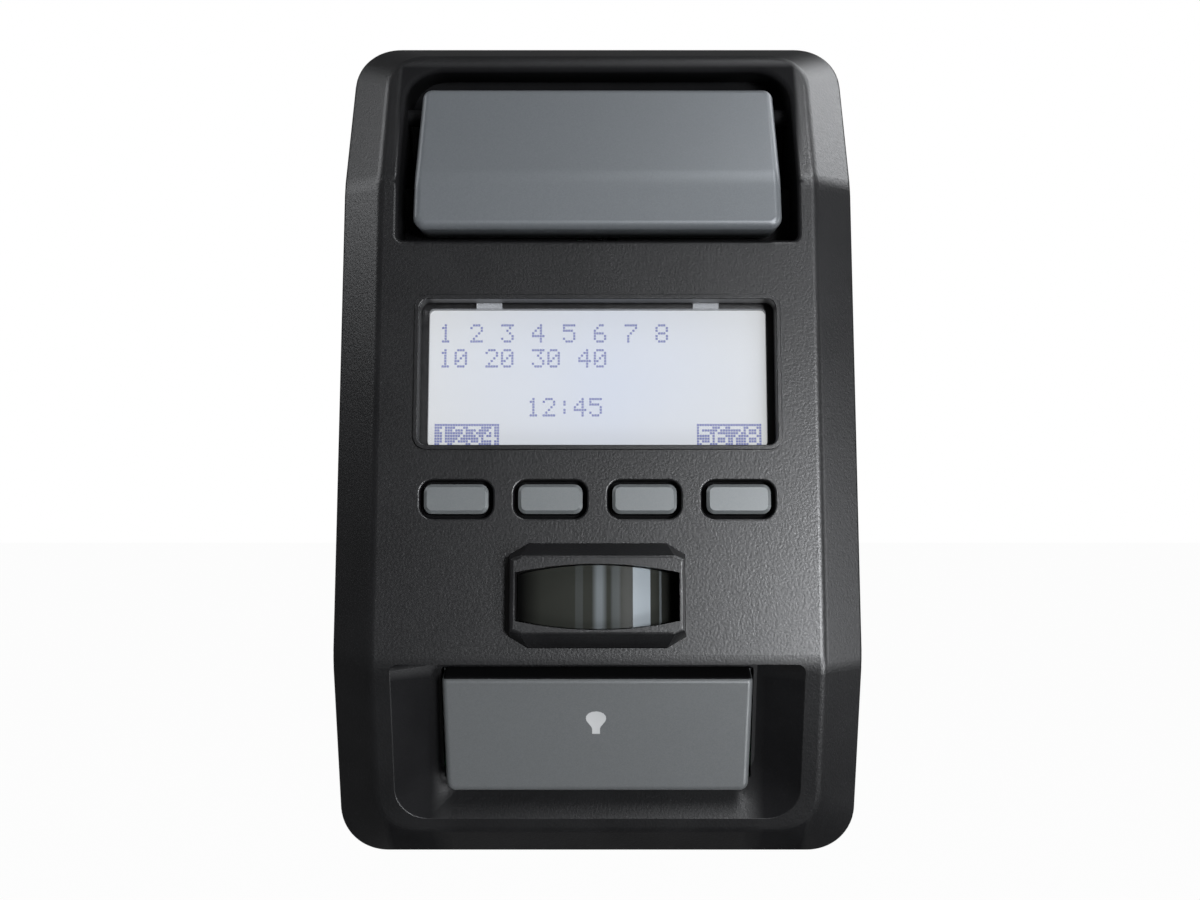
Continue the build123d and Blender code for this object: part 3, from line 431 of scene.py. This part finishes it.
lcd = {
    "rim": "#d8d8d4",
    "middle": "#c8cfde",
    "shift": (0.0, 0.0, -0.3),
    "scale": (30.0, 1.0, 34.0),
    "cloudMm": 14.0,
    "patchy": (0.7, 1.3),
    "body": "#3c3f45",
    "strength": 0.74,
    "roughness": 0.4,
    "specular": 0.1,
}
lcdInk = {
    "body": "#1c2032",
    "colour": "#4c56a0",
    "second": "#5c64a8",
    "cloudMm": 0.9,
    "strength": 0.7,
    "roughness": 0.5,
    "specular": 0.1,
}
smoked = {
    "colour": "#242522",
    # painted shade: the colour the lens darkens to at both ends
    "ends": "#080808",
    # painted highlight: the colour of the bright bands
    "paintedGlint": "#747a7e",
    "paintedShadeReach": (8.0, 11.0),
    "ribs": (
        # each band of painted highlight: right of the middle, half the width, how far its edges fade,
        # its share of the highlight colour
        (-2.6, 0.5, 0.1, 0.07),
        (0.3, 0.3, 0.8, 0.4),
        (2.6, 0.4, 0.4, 0.15),
        (6.3, 1.2, 0.1, 1.0),
        (9.0, 0.1, 0.1, 0.3),
    ),
    "swirlMm": 6.0,
    "roughness": (0.16, 0.22),
    "specular": 0.01,
}
printInk = {
    **smoothBlack,
    "colour": "#7b7c7c",
    "second": "#858686",
    "grainMm": 0.2,
    "roughness": (0.5, 0.6),
}
board = {
    "colour": "#1c5a36",
    "second": "#20613b",
    "trackColour": "#2f7a4c",
    "trackMm": 2.2,
    "trackWidth": 0.08,
    "trackDepth": 0.03,
    "bump": 0.3,
    "roughness": 0.3,
}

finishes = {
    "cover": mouldedPlastic("blackAbsCover", coverAbs),
    "abs": mouldedPlastic("blackAbsSparkEroded", blackAbs),
    "smooth": mouldedPlastic("blackAbsPolished", smoothBlack),
    "bar": satinPaint("satinGreyCoatOnBar", barCoat),
    "button": satinPaint("satinGreyCoatOnButton", buttonCoat),
    "key": satinPaint("satinGreyCoatOnKeys", keyCoat),
    "window": clearWindow("polycarbonateClear", window),
    "lcd": litDisplay("liquidCrystalGlass", lcd),
    "lens": smokedLens("polycarbonateSmoked", smoked),
    "board": solderMask("solderMaskGreen", board),
    "steel": plainMetal("zincPlatedSteel", zincSteel),
    "can": plainMetal("drawnNickelSteel", drawnSteel),
    "aluminium": plainMetal("sleevedAluminium", sleevedAluminium),
    "brass": plainMetal("platedBrass", platedBrass),
    "epoxy": mouldedPlastic("epoxyMoulding", epoxyBlack),
    "acetal": mouldedPlastic("acetalIvory", ivoryAcetal),
    "rubber": mouldedPlastic("siliconeRubber", siliconeRubber),
    "acrylic": mouldedPlastic("acrylicFrosted", frostedAcrylic),
    "resin": mouldedPlastic("lampResin", lampResin),
    "ceramic": mouldedPlastic("ceramicBodies", ceramicParts),
    "filter": mouldedPlastic("infraredFilter", infraredFilter),
}
nodeFinish = {
    "front_cover": "cover",
    "rear_cover": "abs",
    "push_bar": "bar",
    "light_button": "button",
    "display_window": "window",
    "display_glass": "lcd",
    "display_frame": "smooth",
    "display_connector": "rubber",
    "light_guide": "acrylic",
    "backlight_leds": "resin",
    "motion_lens": "lens",
    "motion_sensor_holder": "smooth",
    "motion_sensor_can": "can",
    "motion_sensor_window": "filter",
    "circuit_board": "board",
    "board_screws": "steel",
    "cover_screws": "steel",
    "terminal_screws": "steel",
    "terminal_plates": "brass",
    "key_switches": "epoxy",
    "door_switch": "epoxy",
    "light_switch": "epoxy",
    # painted shade: the door switch plunger is black, unlike the other plungers, so the gap under the
    # push bar looks dark
    "door_switch_plunger": "smooth",
    "light_switch_plunger": "acetal",
    "microcontroller": "epoxy",
    "storage_capacitor": "aluminium",
    "board_components": "ceramic",
}
for number in range(1, 5):
    nodeFinish[f"key_{number}"] = "key"
    nodeFinish[f"key_{number}_plunger"] = "acetal"
for nodeName, finish in nodeFinish.items():
    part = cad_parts[nodeName]
    if not part.material_slots:
        part.data.materials.append(finishes[finish])
    for slot in part.material_slots:
        slot.material = finishes[finish]
print("finishes given to", len(nodeFinish), "nodes")

# Dots of the display: plain numbers from a 5 by 7 dot alphabet, set in lines and two inverse blocks
digitRows = {
    "0": (14, 17, 19, 21, 25, 17, 14),
    "1": (4, 12, 4, 4, 4, 4, 14),
    "2": (14, 17, 1, 2, 4, 8, 31),
    "3": (31, 2, 4, 2, 1, 17, 14),
    "4": (2, 6, 10, 18, 31, 2, 2),
    "5": (31, 16, 30, 1, 1, 17, 14),
    "6": (6, 8, 16, 30, 17, 17, 14),
    "7": (31, 1, 2, 4, 8, 8, 8),
    "8": (14, 17, 17, 14, 17, 17, 14),
    ":": (0, 4, 4, 0, 4, 4, 0),
    " ": (0, 0, 0, 0, 0, 0, 0),
}
displayDots = {
    "markColumns": 5,
    "columnsToNextMark": 6,
    "pitchAcross": 0.385,
    "pitchAlong": 0.41,
    "dot": 0.34,
    "thickness": 0.03,
    "proud": -4.49,
    "lines": (("1 2 3 4 5 6 7 8", -23.5, 17.4), ("10 20 30 40", -23.5, 13.6), ("12:45", -10.3, 6.2)),
    "blocks": (("1234", -24.0, 2.3), ("5678", 14.9, 2.3)),
    "blockColumns": 25,
    "blockRows": 8,
}


def dotPlaces(settings):
    pitchAcross, pitchAlong = settings["pitchAcross"], settings["pitchAlong"]
    places = []

    def lit(text):
        # each row of a mark is a number whose binary digits are its dots, the first dot highest
        columns = settings["markColumns"]
        return {
            (settings["columnsToNextMark"] * index + column, row)
            for index, mark in enumerate(text)
            for row, bits in enumerate(digitRows[mark])
            for column in range(columns)
            if bits >> (columns - 1 - column) & 1
        }

    def place(left, top, column, row):
        return onPanel(left + column * pitchAcross, top - row * pitchAlong, settings["proud"])

    for text, left, top in settings["lines"]:
        places += [place(left, top, column, row) for column, row in sorted(lit(text))]
    for text, left, top in settings["blocks"]:
        marks = lit(text)
        places += [
            place(left, top, column, row)
            for column in range(settings["blockColumns"])
            for row in range(settings["blockRows"])
            if (column - 1, row - 1) not in marks
        ]
    return places


def repeatOnPoints(name, places, size, turn, material):
    # Geometry Nodes put one small plate on every point of a cloud
    cloud = bpy.data.meshes.new(name + "Points")
    cloud.from_pydata(places, [], [])
    carrier = bpy.data.objects.new(name, cloud)
    bpy.context.scene.collection.objects.link(carrier)
    tree = bpy.data.node_groups.new(name + "Tree", "GeometryNodeTree")
    tree.interface.new_socket("Geometry", in_out="INPUT", socket_type="NodeSocketGeometry")
    sizeSocket = tree.interface.new_socket("Plate size", in_out="INPUT", socket_type="NodeSocketVector")
    tree.interface.new_socket("Geometry", in_out="OUTPUT", socket_type="NodeSocketGeometry")
    source = addNode(tree, "NodeGroupInput")
    plate = addNode(tree, "GeometryNodeMeshCube", {"Size": source.outputs["Plate size"]})
    instances = addNode(
        tree,
        "GeometryNodeInstanceOnPoints",
        {"Points": source.outputs["Geometry"], "Instance": plate.outputs["Mesh"], "Rotation": turn},
    )
    real = addNode(tree, "GeometryNodeRealizeInstances", {"Geometry": instances.outputs["Instances"]})
    coated = addNode(
        tree, "GeometryNodeSetMaterial", {"Geometry": real.outputs["Geometry"], "Material": material}
    )
    addNode(tree, "NodeGroupOutput", {"Geometry": coated.outputs["Geometry"]})
    modifier = carrier.modifiers.new("Repeat", "NODES")
    modifier.node_group = tree
    modifier[sizeSocket.identifier] = size
    view = bpy.context.evaluated_depsgraph_get()
    mesh = bpy.data.meshes.new_from_object(carrier.evaluated_get(view))
    mesh.name = name
    carrier.modifiers.remove(modifier)
    carrier.data = mesh
    return carrier


ink = inkOnGlass("liquidCrystalInk", lcdInk)
dotSize = (displayDots["dot"] * mm, displayDots["thickness"] * mm, displayDots["dot"] * mm)
dots = repeatOnPoints("display_dots", dotPlaces(displayDots), dotSize, (-panel["tilt"], 0.0, 0.0), ink)
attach(dots, "housing")
print("display dots made,", len(dots.data.polygons), "faces")

# Bulb mark printed on the light button: a plain outline of a lamp bulb, mirrored about its middle
bulbMark = {
    "head": (-32.58, -34.69),
    "foot": (-30.15, -51.51),
    "middle": -0.2,
    "top": -39.5,
    "half": ((0.0, 0.0), (0.6, -0.07), (1.1, -0.32), (1.4, -0.68), (1.47, -1.05), (1.34, -1.42),
             (1.0, -1.85), (0.72, -2.2), (0.56, -2.5), (0.56, -3.3)),
    "thickness": 0.02,
}


def buttonPlate(name, settings, material):
    # heights are real heights; the plate follows the button's sloping face
    headDepth, headHeight = settings["head"]
    footDepth, footHeight = settings["foot"]
    slope = (footDepth - headDepth) / (footHeight - headHeight)
    half = settings["half"]
    outline = list(half) + [(-across, drop) for across, drop in reversed(half) if across > 0]
    shape = bmesh.new()
    rings = []
    for proud in (settings["thickness"], 0.0):
        ring = []
        for across, drop in outline:
            height = settings["top"] + drop
            depth = headDepth + slope * (height - headHeight) - proud
            place = ((settings["middle"] + across) * mm, depth * mm, height * mm)
            ring.append(shape.verts.new(place))
        rings.append(ring)
    front, back = rings
    shape.faces.new(front)
    shape.faces.new(list(reversed(back)))
    for index in range(len(front)):
        following = (index + 1) % len(front)
        shape.faces.new((front[following], front[index], back[index], back[following]))
    bmesh.ops.recalc_face_normals(shape, faces=shape.faces)
    mesh = bpy.data.meshes.new(name)
    shape.to_mesh(mesh)
    shape.free()
    mesh.materials.append(material)
    plate = bpy.data.objects.new(name, mesh)
    bpy.context.scene.collection.objects.link(plate)
    return plate


mark = buttonPlate("bulb_mark", bulbMark, mouldedPlastic("padPrintedInk", printInk))
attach(mark, "light_button")
print("bulb mark made")

# Studio: pale floor far below the wall control, white behind it, a dimmer room in front, soft lamps;
# lengths in metres
studio = {
    "floorHeight": -0.42,
    "floorSize": 12.0,
    "floorColour": "#f2f2f2",
    "floorRoughness": 0.9,
    "ambient": 0.22,
    "roomSeen": 0.08,
    "whiteFrom": (0.9, 1.0),
    "floorWhiteFrom": (2.5, 5.0),
    "lampColour": "#f5f7fa",
    "floorWhite": 0.97,
    "lamps": (
        # name, degrees right of straight ahead, degrees up, distance, width, height, watts
        ("keyLamp", 20.0, 3.5, 0.75, 0.12, 0.20, 5.9),
        ("frontLamp", 26.0, 42.0, 0.7, 0.30, 0.30, 1.3),
        ("upperLamp", 30.0, 56.0, 0.75, 0.14, 0.14, 1.9),
        ("lowLamp", 35.0, -20.0, 0.7, 0.16, 0.16, 3.0),
        ("upperRightLamp", 104.0, 50.0, 0.6, 0.20, 0.40, 2.2),
        ("lowerRightLamp", 75.0, -5.0, 0.6, 0.20, 0.30, 1.2),
        ("leftLamp", -84.0, 36.0, 0.6, 0.20, 0.40, 1.25),
    ),
}


def seenBy(tree, direct, mirrored, lighting):
    # one level for the camera, one for mirrors and glass, one for the light that falls on the object
    rays = addNode(tree, "ShaderNodeLightPath")
    glossy, through = rays.outputs["Is Glossy Ray"], rays.outputs["Is Transmission Ray"]
    mirror = calculate(tree, "MAXIMUM", glossy, through)
    level = blend(tree, mirror, lighting, mirrored)
    return blend(tree, rays.outputs["Is Camera Ray"], level, direct)


white = (1.0, 1.0, 1.0, 1.0)
world = bpy.data.worlds.new("studioWorld")
world.use_nodes = True
worldTree = world.node_tree
worldTree.nodes.clear()
# mirrors and glass see the white behind the wall control, and the dim room in front of it
way = addNode(worldTree, "ShaderNodeTexCoord").outputs["Generated"]
towardsWall = addNode(worldTree, "ShaderNodeSeparateXYZ", {"Vector": way}).outputs["Y"]
mirrored = remap(worldTree, towardsWall, studio["roomSeen"], 1.0, *studio["whiteFrom"])
roomLight = addNode(
    worldTree,
    "ShaderNodeBackground",
    {"Color": white, "Strength": seenBy(worldTree, 1.0, mirrored, studio["ambient"])},
)
addNode(worldTree, "ShaderNodeOutputWorld", {"Surface": roomLight.outputs["Background"]})
bpy.context.scene.world = world

floorMesh = bpy.data.meshes.new("studioFloor")
half = studio["floorSize"] / 2
corners = ((-half, -half), (half, -half), (half, half), (-half, half))
floorMesh.from_pydata([(x, y, studio["floorHeight"]) for x, y in corners], [], [(0, 1, 2, 3)])
floor = bpy.data.objects.new("studioFloor", floorMesh)
bpy.context.scene.collection.objects.link(floor)
floorFinish, floorTree, floorShader, floorPlace = newMaterial("paintedFloor")
floorShader.inputs["Base Color"].default_value = hexColour(studio["floorColour"])
floorShader.inputs["Roughness"].default_value = studio["floorRoughness"]
floorAway = addNode(floorTree, "ShaderNodeSeparateXYZ", {"Vector": floorPlace}).outputs["Y"]
floorMirrored = remap(floorTree, floorAway, studio["roomSeen"], 1.0, *studio["floorWhiteFrom"])
floorGlow = addNode(
    floorTree,
    "ShaderNodeEmission",
    {"Color": white, "Strength": seenBy(floorTree, 1.0, floorMirrored, 1.0)},
)
floorMix = addNode(
    floorTree,
    "ShaderNodeMixShader",
    {
        0: seenBy(floorTree, studio["floorWhite"], 1.0, 0.0),
        1: floorShader.outputs["BSDF"],
        2: floorGlow.outputs["Emission"],
    },
)
floorTree.links.new(floorMix.outputs["Shader"], floorTree.nodes["Material Output"].inputs["Surface"])
floorMesh.materials.append(floorFinish)

for lampName, right, up, distance, width, height, watts in studio["lamps"]:
    lampData = bpy.data.lights.new(lampName, "AREA")
    lampData.shape = "RECTANGLE"
    lampData.size, lampData.size_y = width, height
    lampData.energy = watts
    lampData.color = hexColour(studio["lampColour"])[:3]
    lamp = bpy.data.objects.new(lampName, lampData)
    azimuth, elevation = math.radians(right), math.radians(up)
    lamp.location = distance * Vector(
        (
            math.cos(elevation) * math.sin(azimuth),
            -math.cos(elevation) * math.cos(azimuth),
            math.sin(elevation),
        )
    )
    lamp.rotation_euler = (-lamp.location).to_track_quat("-Z", "Y").to_euler()
    lamp.visible_camera = False
    bpy.context.scene.collection.objects.link(lamp)

# Camera: close in front of the wall, a little below the middle, looking straight at the wall
eye = {"place": (0.37 * mm, -230 * mm, -2.03 * mm), "lens": 41.47, "sensor": 36.0, "nearest": 5 * mm}
cameraData = bpy.data.cameras.new("eye")
cameraData.lens = eye["lens"]
cameraData.sensor_width = eye["sensor"]
cameraData.sensor_fit = "HORIZONTAL"
cameraData.clip_start = eye["nearest"]
camera = bpy.data.objects.new("eye", cameraData)
camera.location = eye["place"]
camera.rotation_euler = (math.radians(90), 0.0, 0.0)
bpy.context.scene.collection.objects.link(camera)
bpy.context.scene.camera = camera
bpy.context.scene.view_settings.view_transform = "Standard"
print("studio and camera ready")
